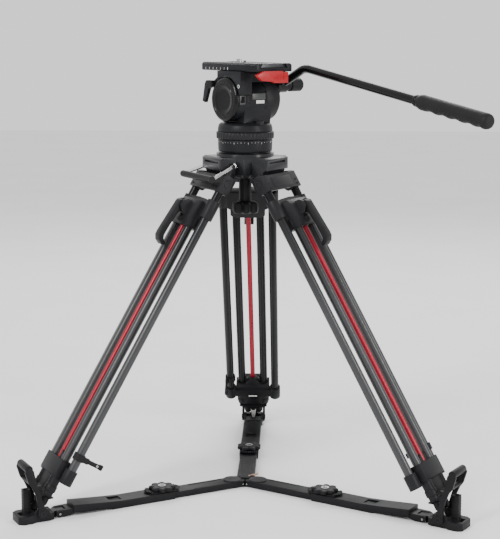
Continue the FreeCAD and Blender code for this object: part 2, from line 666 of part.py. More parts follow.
# --------------------------------------------------------------------------- ground spreader
def spreader_base(tag, frame):
    """The floor shoe: a pocket for the foot, ears for the clamp, a tongue and a rubber post."""
    shoe = slab(f"shoe_{tag}", "XY", [
        (397, -17), (404, -20.3), (432, -20.3), (440, -23.5), (455, -23.5), ("base_end", -17), ("base_end", 17),
        (455, 23.5), (440, 23.5), (432, 20.3), (404, 20.3), (397, 17)], 0, "base_height")
    cheeks = slab(f"shoe_cheeks_{tag}", "XZ", [
        (404, 12), (408, 21), (414, 25), (426, 25), (433, 20), (438, 12)], -20.3, 20.3)
    tongue = box(f"tongue_{tag}", (374, 400), (-8.6, 8.6), (1.5, 12.5))
    pocket = slab(f"foot_pocket_{tag}", "XZ", [
        (396, 30), (399, 13.2), (434, 13.2), (434, 30)], -16.2, 16.2)
    seat = ball(f"spike_seat_{tag}", 3.4, ("ankle_reach", 0, "ankle_level"))
    outer_slot = box(f"post_slot_{tag}", (448, 458.5), (-9, 9), (3, 20))
    body = join(f"shoe_all_{tag}", [shoe, cheeks, tongue])
    cut = doc.addObject("Part::Cut", f"shoe_cut_{tag}")
    cut.Base = body
    cut.Tool = join(f"shoe_holes_{tag}", [pocket, seat, outer_slot])
    post = box(f"rubber_post_{tag}", (437.5, 450), (-6.5, 6.5), (3, 59))
    axle = rod(f"clamp_axle_left_{tag}", 3, ("ankle_reach", 19, "ankle_level"), 7, "Y")
    axle_far = rod(f"clamp_axle_right_{tag}", 3, ("ankle_reach", -26, "ankle_level"), 7, "Y")
    arm_pin = rod(f"arm_pin_{tag}", 2.5, ("arm_pin_reach", -16.5, 7), 33, "Y")
    node(f"spreader_base_{tag}", [cut, post, axle, axle_far, arm_pin], frame=frame)


def foot_clamp(tag, frame):
    """A leaning bail: two arms on the shoe's axles, a top bar, a lower bar and two noses."""
    solids = []
    for side, low, high in (("left", -25.4, -20.7), ("right", 20.7, 25.4)):
        solids += [
            slab(f"clamp_arm_{side}_{tag}", "XZ", [
                (412, 17), (416.5, 26), (423.5, 50), (430.5, 72), (436, 98), (442, 105.5), (449, 104), (452, 96),
                (446, 76), (439, 66), (432, 50), (429, 26), (428, 15)], low, high),
            rod(f"clamp_eye_{side}_{tag}", 9, ("ankle_reach", low, "ankle_level"), 4.7, "Y"),
            slab(f"clamp_nose_{side}_{tag}", "XZ", [
                (428, 60), (432, 68), (422, 70), (420.5, 66)], low, high)]
    solids += [
        rod(f"clamp_top_bar_{tag}", 7, (444, -23.5, 101), 47, "Y"),
        rod(f"clamp_low_bar_{tag}", 4, (440, -23.5, 74.5), 47, "Y")]
    holes = [rod(f"clamp_eye_hole_{tag}", "3 + fit", ("ankle_reach", -40, "ankle_level"), 80, "Y")]
    node(f"foot_clamp_{tag}", solids, holes, frame)


def arm_outer(tag, frame):
    """The sleeve: a long channel with a window, rising to the forked end at the shoe."""
    sleeve = slab(f"sleeve_{tag}", "XZ", [
        ("sleeve_start", 0), ("sleeve_start", "arm_top"), (262, "arm_top"), (300, 16.5), ("sleeve_end", 21),
        ("sleeve_end", 8), (345, 4.5), (292, 3), (284, 0)], "-arm_half_width", "arm_half_width")
    fork = slab(f"fork_{tag}", "XZ", [
        (352, 8), (352, 14), (364, 14), (386, 13.5), (391, 11), (392.5, 7), (390, 2.5), (384, 1), (366, 2)],
        -15.8, 15.8)
    holes = [
        box(f"wide_cavity_{tag}", (150, 224), ("-bar_half_width - 0.3", "bar_half_width + 0.3"),
            ("bar_bottom - 0.3", "bar_top + 0.3")),
        box(f"narrow_cavity_{tag}", (150, 352), (-14.3, 14.3), (6.2, 12.6)),
        box(f"window_{tag}", (263, 287), (-10, 10), (11, 30)),
        box(f"fork_gap_{tag}", (372, 400), (-9, 9), (-1, 20)),
        rod(f"fork_pin_hole_{tag}", "2.5 + fit", ("arm_pin_reach", -30, 7), 60, "Y")]
    node(f"arm_outer_{tag}", [sleeve, fork], holes, frame)


def arm_knob(tag, frame):
    """A saddle on the sleeve with a lobed clamp knob."""
    saddle = box(f"saddle_plate_{tag}", (150, 206), (-16, 16), ("arm_top + 0.3", 17))
    core = rod(f"knob_core_{tag}", 20, ("knob_place", 0, 16.5), 11.5)
    solids = [saddle, core]
    for index in range(8):
        turn = math.radians(45 * index)
        across = f"knob_place + {18.6 * math.cos(turn):.4f}"
        solids.append(rod(f"knob_lobe_{index}_{tag}", "knob_radius - 18.6",
                          (across, 18.6 * math.sin(turn), 17.5), 9))
    node(f"arm_knob_{tag}", solids, frame=frame)


def arm_inner(tag, frame):
    """The inner bar: mitred at the hub, wide to the sleeve and slim inside it."""
    bar = slab(f"inner_bar_{tag}", "XY", [
        (1.2, 0), (10.8, "bar_half_width"), (157.5, "bar_half_width"), (157.5, "-bar_half_width"),
        (10.8, "-bar_half_width")], "bar_bottom", "bar_top")
    tail = box(f"inner_tail_{tag}", (150, 299), (-14, 14), (6.5, 12.3))
    node(f"arm_inner_{tag}", [bar, tail], [rod(f"hub_hole_{tag}", 4.6, (0, 0, -1), 20)], frame)


def hub():
    """A floor plate, a centre pin and a cap that hold the three inner bars."""
    solids = [
        turned("hub_plate", [(0, 0), (20, 0), (20, 0.9), (0, 0.9)]),
        rod("hub_pin", 3.5, (0, 0, 0), 14),
        turned("hub_cap", [(0, 12.9), (9.5, 12.9), (9.5, 14), (7, 15.4), (0, 15.4)])]
    node("spreader_hub", solids)


# --------------------------------------------------------------------------- assembly
crown()
leg_hinge_pins()
carry_handle()
for build in (bowl_base, tie_down_knob, pan_drag_ring, head_body, tilt_drag_ring, tilt_brake_lever, tilt_cradle,
              platform, slide_plate, plate_lock_lever, camera_screw, rosette_knob, pan_bar, pan_grip):
    build()
for leg in range(3):
    for build in (leg_shoulder, upper_tubes, lower_bracket, slide_bracket, lock_lever, mid_tubes, release_rod,
                  mid_clamp, foot):
        build(leg + 1, leg_frame(leg))
    for build in (spreader_base, foot_clamp, arm_outer, arm_knob, arm_inner):
        build(leg + 1, arm_frame(leg))
hub()

doc.recompute()
faulty = [thing.Label for thing in doc.Objects if "Invalid" in thing.State or "Error" in thing.State]
faulty += [part.Label for part in nodes if part.Shape.isNull() or not part.Shape.isValid()]
if faulty:
    raise RuntimeError(f"not built: {faulty}")
for part in nodes:
    part.Shape.exportStep(f"parts/{part.Label}.step")
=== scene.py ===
import json
import math

import bmesh
import bpy
from mathutils import Matrix, Vector


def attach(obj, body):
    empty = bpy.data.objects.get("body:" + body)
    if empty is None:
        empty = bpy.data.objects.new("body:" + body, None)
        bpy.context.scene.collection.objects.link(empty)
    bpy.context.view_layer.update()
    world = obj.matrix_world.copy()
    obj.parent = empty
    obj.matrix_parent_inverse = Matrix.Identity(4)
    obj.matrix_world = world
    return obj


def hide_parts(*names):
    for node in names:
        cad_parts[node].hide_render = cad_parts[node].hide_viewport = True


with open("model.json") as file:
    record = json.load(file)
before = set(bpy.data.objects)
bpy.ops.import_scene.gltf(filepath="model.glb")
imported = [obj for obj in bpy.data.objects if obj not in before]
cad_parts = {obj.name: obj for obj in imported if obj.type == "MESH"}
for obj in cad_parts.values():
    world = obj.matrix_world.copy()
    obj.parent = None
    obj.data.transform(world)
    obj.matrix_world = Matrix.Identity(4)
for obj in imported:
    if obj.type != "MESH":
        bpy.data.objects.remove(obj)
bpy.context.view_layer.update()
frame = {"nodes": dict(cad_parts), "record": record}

# Driving sizes, in millimetres and degrees. MM turns them into the frame's metres.
MM = 0.001
LEGS = (1, 2, 3)
LEG_AZIMUTHS = (90.0, 210.0, 330.0)
LEG_HINGE = (64.7, 0, 592.2)
LEAN = math.radians(31.4)
OUTER_HALF_PITCH = 48.3
INNER_HALF_PITCH = 23.7
INNER_PLANE = 15
HEAD_AZIMUTH = -51.0
DRUM_LEVEL = 745
BASE_TOP = 671.1
HUB_LEVEL = 769
HUB_FORWARD = 12
ARM_KNOB = 177
ARM_TOP = 12.4
PLATE_EDGE = 39.6
PANEL_FACE = 42.0
BAIL_PIN = (48, 42.9, 623.9)
BAIL_END = (98, 61.7, 604.9)
BAR_ROOT = (84, 75, 803)
BAR_TIP = (538, 75, 731.4)
GRIP_DEPTH = 152

# The stage, in metres, watts and degrees.
FLOOR_REACH = 9
WORLD_GLOW = 1.15
CAMERA_DISTANCE = 2.64806
CAMERA_HEIGHT = 0.88631
CAMERA_TURN = math.radians(2.52)
CAMERA_PITCH = math.radians(8.421)
CAMERA_YAW = math.radians(0.195)
SENSOR_HEIGHT = 36.0
FOCAL_LENGTH = 94.57
LENS_SHIFT = -0.0699


# ------------------------------------------------------------------ frames (in millimetres)
def about_z(degrees):
    return Matrix.Rotation(math.radians(degrees), 4, "Z")


def arm_frame(leg):
    """X outwards along a spreader arm from the tripod's axis, Z up from the floor."""
    return about_z(LEG_AZIMUTHS[leg - 1])


def leg_frame(leg):
    """X out of the leg's plane, Y across it, Z up along its tubes, with the hinge pin at the origin."""
    return arm_frame(leg) @ Matrix.Translation(LEG_HINGE) @ Matrix.Rotation(-LEAN, 4, "Y")


HEAD = about_z(HEAD_AZIMUTH)
UPRIGHT = Matrix.Identity(4)
TO_X = Matrix.Rotation(math.radians(90), 4, "Y")
TO_Y = Matrix.Rotation(math.radians(-90), 4, "X")


def at(x, y, z, turn=UPRIGHT):
    return Matrix.Translation((x, y, z)) @ turn


def facing(side):
    """Turns Z to the left or the right side of a frame."""
    return TO_Y if side > 0 else TO_Y.inverted()


# ------------------------------------------------------------------ materials
class Nodes:
    """A short way to write a material's nodes."""

    def __init__(self, name):
        self.material = bpy.data.materials.new(name)
        self.material.use_nodes = True
        self.tree = self.material.node_tree
        self.shader = self.tree.nodes["Principled BSDF"]

    def new(self, kind, **values):
        made = self.tree.nodes.new("ShaderNode" + kind)
        for key, value in values.items():
            setattr(made, key, value)
        return made

    def link(self, output, socket):
        self.tree.links.new(output, socket)

    def place(self, rotation=(0, 0, 0), scale=(1, 1, 1)):
        """The object's own coordinates, turned and scaled."""
        coordinates = self.new("TexCoord")
        mapping = self.new("Mapping", vector_type="TEXTURE")
        mapping.inputs["Rotation"].default_value = rotation
        mapping.inputs["Scale"].default_value = scale
        self.link(coordinates.outputs["Object"], mapping.inputs["Vector"])
        return mapping.outputs["Vector"]

    def noise(self, scale, detail, vector=None):
        made = self.new("TexNoise")
        made.inputs["Scale"].default_value = scale
        made.inputs["Detail"].default_value = detail
        self.link(vector or self.place(), made.inputs["Vector"])
        return made.outputs["Fac"]

    def ramp(self, factor, *stops):
        made = self.new("ValToRGB")
        ramp = made.color_ramp
        while len(ramp.elements) < len(stops):
            ramp.elements.new(0.5)
        for element, (position, colour) in zip(ramp.elements, stops):
            element.position = position
            element.color = (*colour, 1)
        self.link(factor, made.inputs["Fac"])
        return made.outputs["Color"]

    def math(self, operation, *values):
        made = self.new("Math", operation=operation)
        for index, value in enumerate(values):
            if isinstance(value, (int, float)):
                made.inputs[index].default_value = value
            else:
                self.link(value, made.inputs[index])
        return made.outputs["Value"]

    def mix(self, factor, first, second):
        """Two colours mixed; the sockets are numbered because they share their names."""
        made = self.new("Mix", data_type="RGBA")
        for socket, value in ((made.inputs[0], factor), (made.inputs[6], first), (made.inputs[7], second)):
            if isinstance(value, tuple):
                socket.default_value = (*value, 1)
            else:
                self.link(value, socket)
        return made.outputs[2]

    def bump(self, height, strength, distance):
        made = self.new("Bump")
        made.inputs["Strength"].default_value = strength
        made.inputs["Distance"].default_value = distance
        self.link(height, made.inputs["Height"])
        self.link(made.outputs["Normal"], self.shader.inputs["Normal"])

    def set(self, **values):
        """Values or links for the shader's sockets, with _ for a space in a socket's name."""
        for key, value in values.items():
            socket = self.shader.inputs[key.replace("_", " ")]
            if isinstance(value, (int, float)):
                socket.default_value = value
            else:
                self.link(value, socket)


def grey(level):
    return (level, level, level)


def grained(name, dark, light, rough, grain, depth, metallic=0.0, specular=0.5):
    """A coloured surface with fine grain, slow tone changes and uneven gloss."""
    n = Nodes(name)
    slow = n.noise(14.0, 4.0)
    fine = n.noise(grain, 2.0)
    tone = n.math("ADD", n.math("MULTIPLY", slow, 0.7), n.math("MULTIPLY", fine, 0.3))
    gloss = n.ramp(slow, (0.3, grey(rough[0])), (0.7, grey(rough[1])))
    n.set(Base_Color=n.ramp(tone, (0.30, dark), (0.70, light)), Metallic=metallic, Roughness=gloss)
    n.shader.inputs["Specular IOR Level"].default_value = specular
    n.bump(fine, 0.35, depth)
    return n.material


CAST = grained("cast_black", (0.0060, 0.0062, 0.0075), (0.0125, 0.0130, 0.0155), (0.34, 0.48), 900.0, 0.00012,
               specular=0.16)
LEG_CAST = grained("leg_casting", (0.0065, 0.0065, 0.0075), (0.0140, 0.0140, 0.0155), (0.36, 0.50), 900.0, 0.00012,
                   specular=0.16)
MOULD = grained("moulded_black", (0.0050, 0.0050, 0.0058), (0.0110, 0.0112, 0.0125), (0.40, 0.56), 1300.0, 0.00010,
                specular=0.16)
RIB = grained("rib_black", (0.0080, 0.0080, 0.0090), (0.0170, 0.0172, 0.0190), (0.34, 0.46), 1300.0, 0.00006,
              specular=0.16)
GLOSS = grained("gloss_black", (0.0025, 0.0025, 0.0028), (0.0045, 0.0045, 0.0050), (0.14, 0.22), 700.0, 0.00002,
                specular=0.20)
RUBBER = grained("grip_rubber", (0.0060, 0.0060, 0.0062), (0.0120, 0.0120, 0.0124), (0.44, 0.58), 1500.0, 0.00016,
                 specular=0.16)
PLATE = grained("plate_black", (0.030, 0.031, 0.034), (0.055, 0.057, 0.061), (0.28, 0.40), 1600.0, 0.00005, 0.4,
                specular=0.4)
STEEL = grained("steel", (0.34, 0.34, 0.34), (0.56, 0.56, 0.55), (0.22, 0.36), 1800.0, 0.00004, 1.0)
CHROME = grained("bright_wire", (0.68, 0.68, 0.69), (0.85, 0.85, 0.85), (0.10, 0.18), 700.0, 0.00002, 1.0)
WHITE = grained("white_mark", (0.60, 0.60, 0.58), (0.78, 0.78, 0.76), (0.45, 0.60), 1200.0, 0.00002)
GREY = grained("panel_grey", (0.022, 0.026, 0.023), (0.038, 0.043, 0.039), (0.32, 0.45), 1400.0, 0.00003)
LABEL = grained("blank_label", (0.50, 0.50, 0.49), (0.66, 0.66, 0.64), (0.38, 0.50), 1200.0, 0.00002)
ZINC = grained("zinc_spike", (0.42, 0.42, 0.41), (0.60, 0.60, 0.58), (0.30, 0.42), 1500.0, 0.00004, 0.25)
COPPER = grained("copper_trim", (0.34, 0.22, 0.16), (0.50, 0.34, 0.26), (0.30, 0.42), 900.0, 0.00004, 0.9)
RED_ROD = grained("red_rod", (0.26, 0.003, 0.016), (0.36, 0.007, 0.026), (0.26, 0.36), 1100.0, 0.00004, 0.35)
RED_LEVER = grained("red_lever", (0.30, 0.002, 0.005), (0.38, 0.004, 0.009), (0.30, 0.42), 1300.0, 0.00006,
                    specular=0.35)
LEVEL_GLASS = grained("level_glass", (0.09, 0.11, 0.045), (0.14, 0.17, 0.075), (0.05, 0.10), 300.0, 0.00001)
SCREEN = grained("screen", (0.0030, 0.0032, 0.0036), (0.0060, 0.0064, 0.0070), (0.10, 0.16), 300.0, 0.00001,
                 specular=0.12)
CROWN_CAST = grained("crown_casting", (0.008, 0.0082, 0.0100), (0.016, 0.0165, 0.0190), (0.24, 0.36), 900.0, 0.00010,
                     specular=0.26)


def carbon(leg):
    """Twill weave under a satin lacquer, in the leg's own directions, with painted shade: darker towards the hinge,
    and darker all over on the back leg.
    """
    back = leg == 1
    # Painted shade: the back leg gets a darker copy of the same carbon, its colours scaled by 0.32 instead of 0.8.
    tone = 0.32 if back else 0.8

    def shade(*colour):
        return tuple(channel * tone for channel in colour)

    weave_pitch = 0.0042
    n = Nodes(f"carbon_tube_{leg}")
    frame_here = leg_frame(leg)
    turn = frame_here.to_euler()
    parts = n.new("SeparateXYZ")
    n.link(n.place(rotation=(turn.x, turn.y, turn.z)), parts.inputs["Vector"])
    across = n.math("ADD", parts.outputs["X"], parts.outputs["Y"])
    bands = []
    for slant in (1.0, -1.0):
        line = n.math("ADD", n.math("MULTIPLY", across, slant), parts.outputs["Z"])
        bands.append(n.math("SINE", n.math("MULTIPLY", line, 2 * math.pi / weave_pitch)))
    weave = n.math("GREATER_THAN", n.math("MULTIPLY", bands[0], bands[1]), 0.0)

    slow = n.noise(22.0, 5.0)
    streak = n.noise(260.0, 3.0, n.place(rotation=(turn.x, turn.y, turn.z), scale=(1, 1, 30)))
    base = n.mix(weave, shade(0.016, 0.0165, 0.018), shade(0.027, 0.028, 0.030))
    lined = n.mix(n.math("MULTIPLY", streak, 0.5), base, shade(0.060, 0.061, 0.063))
    worn = n.mix(n.math("MULTIPLY", slow, 0.35), lined, shade(0.014, 0.0145, 0.016))

    # Painted shade: towards the hinge the colour darkens to near black and the metallic rises, so the tubes' upper
    # parts reflect less.
    hinge_shade_start, hinge_shade_length = 0.03, 0.24
    top = (frame_here.to_3x3().inverted() @ frame_here.translation).z * MM
    below = n.math("SUBTRACT", top - hinge_shade_start, parts.outputs["Z"])
    painted_hinge_shade = n.ramp(n.math("DIVIDE", below, hinge_shade_length), (0.0, grey(0.0)), (1.0, grey(1.0)))
    n.set(Base_Color=n.mix(painted_hinge_shade, (0.007, 0.0072, 0.0080), worn),
          Metallic=n.math("SUBTRACT", 0.9, n.math("MULTIPLY", painted_hinge_shade, 0.9)),
          Roughness=n.ramp(slow, (0.3, grey(0.28)), (0.7, grey(0.40))))
    # Painted shade: the back leg's copy also reflects less.
    n.shader.inputs["Specular IOR Level"].default_value = 0.2 if back else 0.5
    n.shader.inputs["Coat Weight"].default_value = 0.05 if back else 0.15
    n.shader.inputs["Coat Roughness"].default_value = 0.15
    n.bump(weave, 0.15, 0.00006)
    return n.material


CARBON = {leg: carbon(leg) for leg in LEGS}


# ------------------------------------------------------------------ pieces
def add_piece(name, mesh, body, material, replaced=(), smooth_angle=32.0):
    """A smooth-shaded piece that rides a body and, if told, stands for CAD nodes."""
    for polygon in mesh.polygons:
        polygon.use_smooth = True
    mesh.set_sharp_from_angle(angle=math.radians(smooth_angle))
    mesh.materials.clear()
    mesh.materials.append(material)
    piece = bpy.data.objects.new(name, mesh)
    bpy.context.scene.collection.objects.link(piece)
    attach(piece, body)
    if replaced:
        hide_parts(*replaced)


def bevelled(mesh, width):
    """The mesh with its sharp edges rounded, by a modifier that is applied."""
    holder = bpy.data.objects.new("edge_work", mesh)
    bpy.context.scene.collection.objects.link(holder)
    edge = holder.modifiers.new("edge", "BEVEL")
    edge.width = width * MM
    edge.segments = 2
    edge.limit_method = "ANGLE"
    edge.angle_limit = math.radians(28)
    edge.use_clamp_overlap = True
    evaluated = holder.evaluated_get(bpy.context.evaluated_depsgraph_get())
    result = bpy.data.meshes.new_from_object(evaluated)
    bpy.data.objects.remove(holder)
    return result


def finished(bm, matrix, bevel=0.0):
    """A mesh in metres from a bmesh in the millimetres of one frame."""
    bmesh.ops.remove_doubles(bm, verts=bm.verts, dist=1e-4)
    bmesh.ops.recalc_face_normals(bm, faces=bm.faces)
    bm.transform(Matrix.Scale(MM, 4) @ matrix)
    mesh = bpy.data.meshes.new("form")
    bm.to_mesh(mesh)
    bm.free()
    return bevelled(mesh, bevel) if bevel else mesh


def lathe(profile, matrix, steps=64, ripple=None):
    """A closed profile of (radius, height) turned about Z; ripple changes the radius with the angle."""
    bm = bmesh.new()
    rings = []
    for step in range(steps):
        turn = 2 * math.pi * step / steps
        ring = []
        for radius, height in profile:
            reach = radius + (ripple(turn, radius, height) if ripple and radius > 0.01 else 0.0)
            ring.append(bm.verts.new((reach * math.cos(turn), reach * math.sin(turn), height)))
        rings.append(ring)
    count = len(profile)
    for step in range(steps):
        here, there = rings[step], rings[(step + 1) % steps]
        for index in range(count):
            after = (index + 1) % count
            corners = [here[index], there[index], there[after], here[after]]
            if profile[index][0] < 0.01 and profile[after][0] < 0.01:
                continue
            bm.faces.new(corners)
    bmesh.ops.remove_doubles(bm, verts=bm.verts, dist=1e-4)
    bmesh.ops.dissolve_degenerate(bm, edges=bm.edges, dist=1e-5)
    return finished(bm, matrix)


def block(x, y, z, matrix, bevel=0.4):
    """A box between two places on each axis, with rounded edges."""
    outline = [(x[0], y[0]), (x[1], y[0]), (x[1], y[1]), (x[0], y[1])]
    bm = bmesh.new()
    bottom = [bm.verts.new((*corner, z[0])) for corner in outline]
    top = [bm.verts.new((*corner, z[1])) for corner in outline]
    count = len(outline)
    bm.faces.new(bottom[::-1])
    bm.faces.new(top)
    for index in range(count):
        after = (index + 1) % count
        bm.faces.new((bottom[index], bottom[after], top[after], top[index]))
    return finished(bm, matrix, bevel)


def joined(meshes):
    """Several meshes as one."""
    bm = bmesh.new()
    for mesh in meshes:
        bm.from_mesh(mesh)
        bpy.data.meshes.remove(mesh)
    mesh = bpy.data.meshes.new("form")
    bm.to_mesh(mesh)
    bm.free()
    return mesh


NODE_BODY = {node: body for body, members in frame["record"]["behaviour"]["bodies"].items() for node in members}
NODE_SLOT = {row["node"]: row["material_slot"] for row in frame["record"]["subparts"]}


def refine(node, material, width):
    """A copy of a CAD node with its edges rounded, which stands for the node."""
    bm = bmesh.new()
    bm.from_mesh(frame["nodes"][node].data)
    bmesh.ops.remove_doubles(bm, verts=bm.verts, dist=2e-6)
    bmesh.ops.dissolve_limit(bm, angle_limit=math.radians(0.6), verts=bm.verts, edges=bm.edges)
    mesh = bpy.data.meshes.new("form")
    bm.to_mesh(mesh)
    bm.free()
    add_piece(node + "_form", bevelled(mesh, width), NODE_BODY[node], material, (node,), 36.0)


def paint(node, material):
    target = frame["nodes"][node]
    target.data.materials.clear()
    target.data.materials.append(material)


# ------------------------------------------------------------------ carried-over nodes
SLOT_LOOK = {
    "cast_black": CAST, "leg_casting": LEG_CAST, "moulded_black": MOULD, "red_rod": RED_ROD,
    "red_lever": RED_LEVER, "steel": STEEL, "bail_chrome": CHROME, "plate_black": PLATE, "bar_black": GLOSS,
    "grip_rubber": RUBBER, "foot_black": MOULD, "copper_trim": COPPER,
}
for name in frame["nodes"]:
    if name == "leg_hinge_pins":
        paint(name, MOULD)
    elif NODE_SLOT[name] == "carbon_tube":
        paint(name, CARBON[int(name[-1])])
    else:
        paint(name, SLOT_LOOK[NODE_SLOT[name]])


# ------------------------------------------------------------------ forms that stand for whole nodes
for node, width in (
        ("crown", 1.2), ("platform", 0.8), ("tilt_cradle", 0.8), ("head_body", 0.5), ("tilt_brake_lever", 1.1),
        ("plate_lock_lever", 1.0), ("bowl_base", 0.5)):
    refine(node, CROWN_CAST if node == "crown" else SLOT_LOOK[NODE_SLOT[node]], width)
for leg in LEGS:
    for node, width in (
            ("leg_shoulder", 1.4), ("lower_bracket", 1.2), ("slide_bracket", 0.9), ("lock_lever", 1.6),
            ("spreader_base", 1.0), ("foot_clamp", 1.3), ("arm_outer", 1.0), ("arm_inner", 0.8)):
        name = f"{node}_{leg}"
        refine(name, SLOT_LOOK[NODE_SLOT[name]], width)


# ------------------------------------------------------------------ head details
def ribs(count, depth, above):
    """Rounded ribs around everything wider than a radius."""
    def ripple(turn, radius, height):
        return -depth * (0.5 + 0.5 * math.cos(count * turn)) if radius > above else 0.0
    return ripple


def scallops(count, depth, above):
    """Hollows between rounded lobes."""
    def ripple(turn, radius, height):
        return -depth * abs(math.cos(count * turn / 2)) ** 3 if radius > above else 0.0
    return ripple


drum_axis = HEAD @ at(0, -50, DRUM_LEVEL, TO_Y)
add_piece("drag_knob_form", lathe([
    (0, 2.2), (11, 2.0), (19, 1.5), (24.5, 0.5), (25.5, 0.0), (27.5, 0.0), (28.2, 0.7), (31.5, 0.7), (32.2, 0.0),
    (36.4, 0.0), (37.4, 0.3), (40.3, 2.8), (40.7, 3.6), (40.7, 5.7), (40.2, 6.1), (12.1, 6.1), (12.1, 4.2),
    (0, 4.2)], drum_axis, 180, ribs(60, 0.35, 39.9)),
    "tilt_drag_ring", GLOSS, ("tilt_drag_ring",), 40)
add_piece("drag_knob_face", lathe([(0, 2.1), (18.5, 1.4), (18.5, 1.6), (0, 2.25)], drum_axis, 96),
          "tilt_drag_ring", SCREEN)

pan_axis = HEAD @ at(0, 0, BASE_TOP)
add_piece("pan_ring_form", lathe([
    (40.1, 0), (51.5, 0), (52.6, 1.0), (54.0, 1.8), (54.0, 12.6), (52.6, 13.4), (51.5, 14.2), (40.1, 14.2)],
    pan_axis, 288, ribs(48, 1.1, 53.5)), "pan_drag_ring", RIB, ("pan_drag_ring",), 50)

marks = []
for step in range(48):
    tall = 3.4 if step % 4 == 0 else 1.5
    turn = HEAD @ about_z(step * 7.5)
    marks.append(block((50.9, 51.25), (-0.2, 0.2), (667.4 - tall, 667.4), turn, 0.0))
add_piece("pan_scale", joined(marks), "bowl_base", WHITE)

add_piece("dome_band", lathe([(49.8, 0), (50.6, 0.3), (50.6, 1.5), (49.8, 1.8)], HEAD @ at(0, 0, 687.2), 96),
          "pan_head", GLOSS)

drum_right = HEAD @ at(0, 20.6, DRUM_LEVEL, TO_Y)
add_piece("drum_cover_form", lathe([
    (38.5, 0), (40.2, 0), (40.6, 0.5), (40.6, 29.6), (40.2, 30.3), (37.0, 33.2), (30, 33.4), (29.2, 32.8), (22, 32.8),
    (21.2, 33.4), (12, 33.4), (12, 31), (38.5, 29)], drum_right, 240, ribs(80, 0.30, 40.3)),
    "pan_head", RIB, (), 50)
seam_axis = HEAD @ at(0, 18.8, DRUM_LEVEL, TO_Y)
add_piece("drum_seam", lathe([(39.6, 0), (40.3, 0), (40.3, 1.1), (39.6, 1.1)], seam_axis, 120), "pan_head", GLOSS)



def panel(name, depth, width, height, bevel, look):
    """A flat piece on the control side of the head."""
    add_piece(name, block(depth, width, height, HEAD, bevel), "pan_head", look)


panel("screen_frame", (40, PANEL_FACE), (-43.0, -30.2), (737.4, 753.4), 0.5, GREY)
panel("screen", (41, PANEL_FACE + 0.2), (-41.6, -31.8), (740.0, 751.6), 0.15, SCREEN)
panel("switch_block", (40, PANEL_FACE + 0.3), (-28.6, -15.3), (739.0, 754.6), 0.8, MOULD)
keys = [block((PANEL_FACE, PANEL_FACE + 0.8), (-26.4, -17.6), (low, low + 2.7), HEAD, 0.35)
        for low in (741.2, 745.6, 750.0)]
add_piece("switch_keys", joined(keys), "pan_head", RIB)
panel("grey_panel", (40, PANEL_FACE), (-14.4, 15.8), (745.6, 756.8), 0.5, GREY)
panel("blank_label", (40, PANEL_FACE - 0.1), (-5.2, 13.4), (738.2, 744.2), 0.3, LABEL)

level = HEAD @ at(40, 3, 696)
add_piece("level_cup", lathe([
    (6.1, 4), (6.1, 9.4), (6.6, 9.7), (7.6, 9.7), (8.0, 9.2), (8.0, 0), (0, 0), (0, 4)], level, 64),
    "pan_head", RIB)
add_piece("level_glass", lathe([(0, 4.0), (6.1, 4.0), (6.1, 8.4), (3, 8.9), (0, 9.0)], level, 48),
          "pan_head", LEVEL_GLASS)
add_piece("level_ring", lathe([(2.5, 8.9), (3.0, 9.15), (3.3, 8.8), (2.9, 8.6)], level, 40), "pan_head", STEEL)

socket_head = [(0, 0.7), (1.6, 0.7), (1.8, 0.1), (2.9, 0.0), (3.6, 0.4), (3.6, 1.6), (0, 1.6)]
add_piece("cradle_screw", lathe(socket_head, HEAD @ at(41.5, -46.45, 770.4, TO_Y), 40), "tilt_head", STEEL)

# graduated edge of the platform
ticks = []
for step in range(7):
    place = -70 + step * 11.7
    ticks.append(block((place - 0.35, place + 0.35), (-PLATE_EDGE - 0.52, -PLATE_EDGE), (799.4, 803.6), HEAD, 0.0))
ticks.append(block((-0.95, -0.25), (-PLATE_EDGE - 0.52, -PLATE_EDGE), (799.4, 804.6), HEAD, 0.0))
add_piece("edge_scale", joined(ticks), "tilt_head", WHITE)
lips = [block((-82.4, 88.4), edge, (809.3, 809.9), HEAD, 0.2) for edge in ((-39.9, -38.7), (38.7, 39.9))]
add_piece("edge_lips", joined(lips), "tilt_head", GLOSS)

# camera plate
refine("slide_plate", PLATE, 0.35)
strips = []
for low in (-24.6, 8.0):
    for step in range(40):
        start = -70 + step * 3.75
        strips.append(block((start, start + 2.5), (low, low + 16.6), (812.0, 812.48), HEAD, 0.1))
add_piece("plate_rubber", joined(strips), "slide_plate", RUBBER)
threads = [(0, 0), (4.3, 0)]
for turn in range(6):
    threads += [(4.3, 0.6 + turn), (4.74, 1.0 + turn), (4.3, 1.4 + turn)]
add_piece("camera_thread", lathe(threads + [(4.0, 6.24), (0, 6.24)], HEAD @ at(-19, 0, 812.5), 48),
          "camera_screw", STEEL)

# red lever
grooves = []
for step in range(4):
    start = -6 + step * 6.5
    grooves.append(block((97.4, 98.0), (start, start + 2.2), (783.5, 795.2), HEAD, 0.25))
add_piece("lever_ribs", joined(grooves), "plate_lock_lever", RED_LEVER)

# brake lever
add_piece("brake_boss", lathe([(0, 0), (3.2, 0), (3.5, 0.5), (4.9, 0.5), (5.3, 1.0), (5.3, 1.6), (0, 1.6)],
          HEAD @ at(-38, -53.6, 772, TO_Y), 48), "tilt_brake_lever", GLOSS)

# rosette knob and the bar's hub
knob_axis = HEAD @ at(HUB_FORWARD, 83.6, HUB_LEVEL, TO_Y)
add_piece("rosette_knob_form", lathe([
    (0, 0), (9.6, 0), (10.5, 0.8), (10.5, 10.2), (9.4, 11.0), (11.4, 11.8), (12.6, 12.8), (12.6, 33.4), (12.0, 34.8),
    (10.2, 37.6), (8.4, 38.4), (7.6, 37.9), (0, 37.7)], knob_axis, 192, ribs(24, 0.9, 12.1)),
    "rosette_knob", MOULD, (), 50)
paint("rosette_knob", MOULD)


